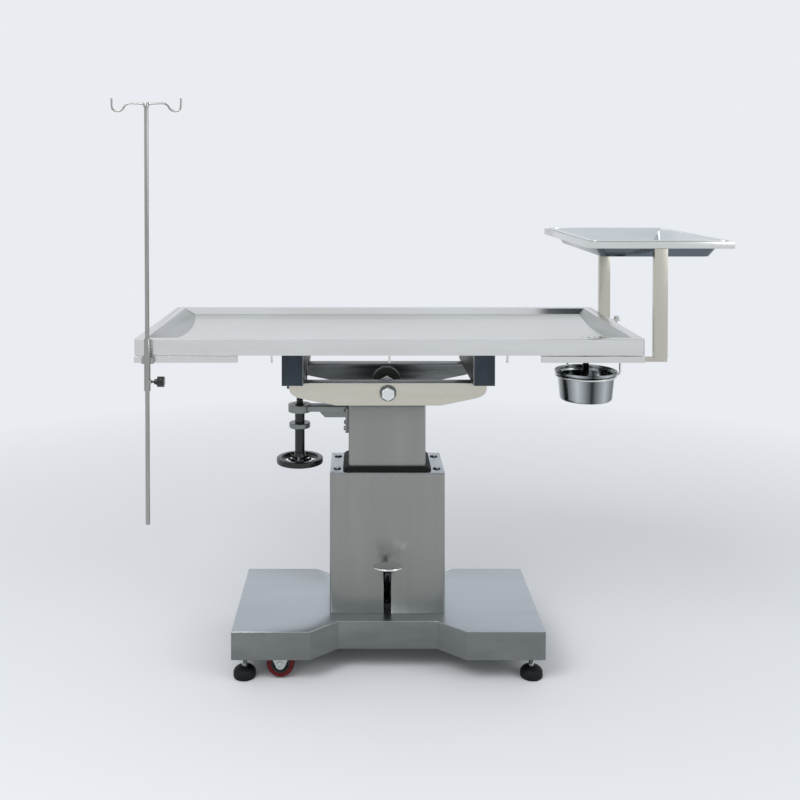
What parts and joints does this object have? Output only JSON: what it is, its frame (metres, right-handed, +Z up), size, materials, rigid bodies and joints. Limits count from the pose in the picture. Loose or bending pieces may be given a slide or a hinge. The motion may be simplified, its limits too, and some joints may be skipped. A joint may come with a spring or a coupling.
{
  "type": "veterinary exam table",
  "caption": "Tilting veterinary exam table with a dished steel top on a pedal-raised column, with an instrument tray, a drip pole and a drain bucket.",
  "frame": {"origin": "on the floor, at the middle of the whole part's footprint", "axes": "+X along the top from the drip pole to the tray, +Y from the pedal side to the back, +Z up"},
  "size_m": [1.5804, 0.624, 1.5407],
  "materials": {
    "polished_steel": "polished stainless sheet with a fine grain",
    "satin_steel": "satin stainless sheet, brushed along its length",
    "slate_steel": "stainless sheet in shade, smooth",
    "zinc": "bright zinc plate",
    "black_plastic": "moulded black plastic, half gloss",
    "black_rubber": "black rubber, matt",
    "red_tyre": "dark red solid tyre",
    "nylon": "white nylon",
    "cast_iron": "dark paint on steel and iron",
    "bronze": "plain bearing bronze",
    "mirror_steel": "mirror polish"
  },
  "bodies": {
    "base": {"base_cover": "satin_steel", "base_frame": "cast_iron", "outer_column": "satin_steel", "column_cap": "satin_steel", "column_gasket": "black_rubber", "upper_guide": "nylon", "hydraulic_barrel": "cast_iron", "pump_body": "cast_iron", "pedal_pin": "zinc", "caster_fork_front": "zinc", "caster_fork_rear": "zinc"},
    "pedal": {"pedal_lever": "black_plastic", "pedal_tread": "polished_steel"},
    "plunger": {"pump_plunger": "mirror_steel"},
    "foot_fl": {"foot_front_left": "black_rubber"},
    "foot_fr": {"foot_front_right": "black_rubber"},
    "foot_rl": {"foot_rear_left": "black_rubber"},
    "foot_rr": {"foot_rear_right": "black_rubber"},
    "wheel_front": {"caster_hub_front": "black_plastic", "caster_tyre_front": "red_tyre"},
    "wheel_rear": {"caster_hub_rear": "black_plastic", "caster_tyre_rear": "red_tyre"},
    "lift": {"inner_column": "satin_steel", "lower_guide": "nylon", "head_plate": "satin_steel", "hydraulic_ram": "mirror_steel", "pivot_lug": "slate_steel", "pivot_bolt": "zinc", "screw_arm": "satin_steel", "screw_bush": "bronze"},
    "wheel_screw": {"tilt_screw": "black_plastic", "handwheel": "black_plastic"},
    "nut": {"travel_nut": "bronze"},
    "table": {"table_top": "polished_steel", "cross_member_left": "slate_steel", "cross_member_right": "slate_steel", "tilt_plate_front": "polished_steel", "tilt_plate_rear": "polished_steel", "pivot_bush_front": "bronze", "pivot_bush_rear": "bronze", "drain_spout": "mirror_steel", "rail_front_left": "polished_steel", "rail_front_right": "polished_steel", "rail_rear_left": "polished_steel", "rail_rear_right": "polished_steel", "pole_sleeve": "polished_steel", "bucket_hoop": "polished_steel"},
    "strainer": {"drain_strainer": "mirror_steel"},
    "knob": {"pole_knob": "black_plastic"},
    "pole": {"drip_pole": "mirror_steel"},
    "hooks": {"pole_hooks": "mirror_steel"},
    "tray": {"tray_post_front": "polished_steel", "tray_post_rear": "polished_steel", "tray_bar_front": "polished_steel", "tray_bar_rear": "polished_steel", "tray_bar_left": "polished_steel", "tray_bar_right": "polished_steel"},
    "clamp": {"clamp_screw": "zinc"},
    "pan": {"tray_pan": "mirror_steel"},
    "pail": {"bucket": "mirror_steel"}
  },
  "joints": [
    {"name": "column_lift", "type": "slide", "parent": "base", "child": "lift", "axis": [0, 0, 1], "range_m": [-0.08, 0.12]},
    {"name": "table_tilt", "type": "hinge", "parent": "lift", "child": "table", "pos_m": [-0.08679, 0.01197, 0.76], "axis": [0, 1, 0], "range_deg": [-10, 10]},
    {"name": "nut_travel", "type": "slide", "parent": "lift", "child": "nut", "axis": [0, 0, 1], "range_m": [-0.045, 0.045]},
    {"name": "handwheel_spin", "type": "hinge", "parent": "lift", "child": "wheel_screw", "pos_m": [-0.3338, 0.01197, 0.535], "axis": [0, 0, 1], "continuous": true},
    {"name": "pedal_press", "type": "hinge", "parent": "base", "child": "pedal", "pos_m": [-0.08679, -0.01803, 0.176], "axis": [1, 0, 0], "range_deg": [0, 20], "stiffness_Nm_per_rad": 12, "springref_deg": -8.59},
    {"name": "plunger_stroke", "type": "slide", "parent": "base", "child": "plunger", "axis": [0, 0, 1], "range_m": [-0.008, 0]},
    {"name": "foot_fl_screw", "type": "hinge", "parent": "base", "child": "foot_fl", "pos_m": [-0.4718, -0.16003, 0.04], "axis": [0, 0, 1], "continuous": true},
    {"name": "foot_fr_screw", "type": "hinge", "parent": "base", "child": "foot_fr", "pos_m": [0.2982, -0.16003, 0.04], "axis": [0, 0, 1], "continuous": true},
    {"name": "foot_rl_screw", "type": "hinge", "parent": "base", "child": "foot_rl", "pos_m": [-0.4718, 0.18397, 0.04], "axis": [0, 0, 1], "continuous": true},
    {"name": "foot_rr_screw", "type": "hinge", "parent": "base", "child": "foot_rr", "pos_m": [0.2982, 0.18397, 0.04], "axis": [0, 0, 1], "continuous": true},
    {"name": "wheel_front_roll", "type": "hinge", "parent": "base", "child": "wheel_front", "pos_m": [-0.3748, -0.16003, 0.0405], "axis": [0, 1, 0], "continuous": true},
    {"name": "wheel_rear_roll", "type": "hinge", "parent": "base", "child": "wheel_rear", "pos_m": [-0.3748, 0.18397, 0.0405], "axis": [0, 1, 0], "continuous": true},
    {"name": "pole_slide", "type": "slide", "parent": "table", "child": "pole", "axis": [0, 0, 1], "range_m": [-0.15, 0.25]},
    {"name": "hook_swivel", "type": "hinge", "parent": "pole", "child": "hooks", "pos_m": [-0.69979, -0.30003, 1.52], "axis": [0, 0, 1], "continuous": true},
    {"name": "knob_turn", "type": "hinge", "parent": "table", "child": "knob", "pos_m": [-0.69979, -0.30003, 0.824], "axis": [1, 0, 0], "continuous": true},
    {"name": "tray_slide", "type": "slide", "parent": "table", "child": "tray", "axis": [1, 0, 0], "range_m": [-0.012, 0.16]},
    {"name": "clamp_turn", "type": "hinge", "parent": "tray", "child": "clamp", "pos_m": [0.64221, 0.30197, 0.89], "axis": [0, 0, 1], "continuous": true},
    {"name": "pan_lift", "type": "slide", "parent": "tray", "child": "pan", "axis": [0, 0, 1], "range_m": [0, 0.08]},
    {"name": "pail_lift", "type": "slide", "parent": "table", "child": "pail", "axis": [0, 0, 1], "range_m": [0, 0.05]},
    {"name": "strainer_lift", "type": "slide", "parent": "table", "child": "strainer", "axis": [0, 0, 1], "range_m": [0, 0.03]}
  ],
  "couplings": [
    {"joint": "nut_travel", "follows": "table_tilt", "m_per_rad": 0.2485},
    {"joint": "handwheel_spin", "follows": "table_tilt", "ratio": 97},
    {"joint": "plunger_stroke", "follows": "pedal_press", "m_per_rad": -0.018}
  ]
}
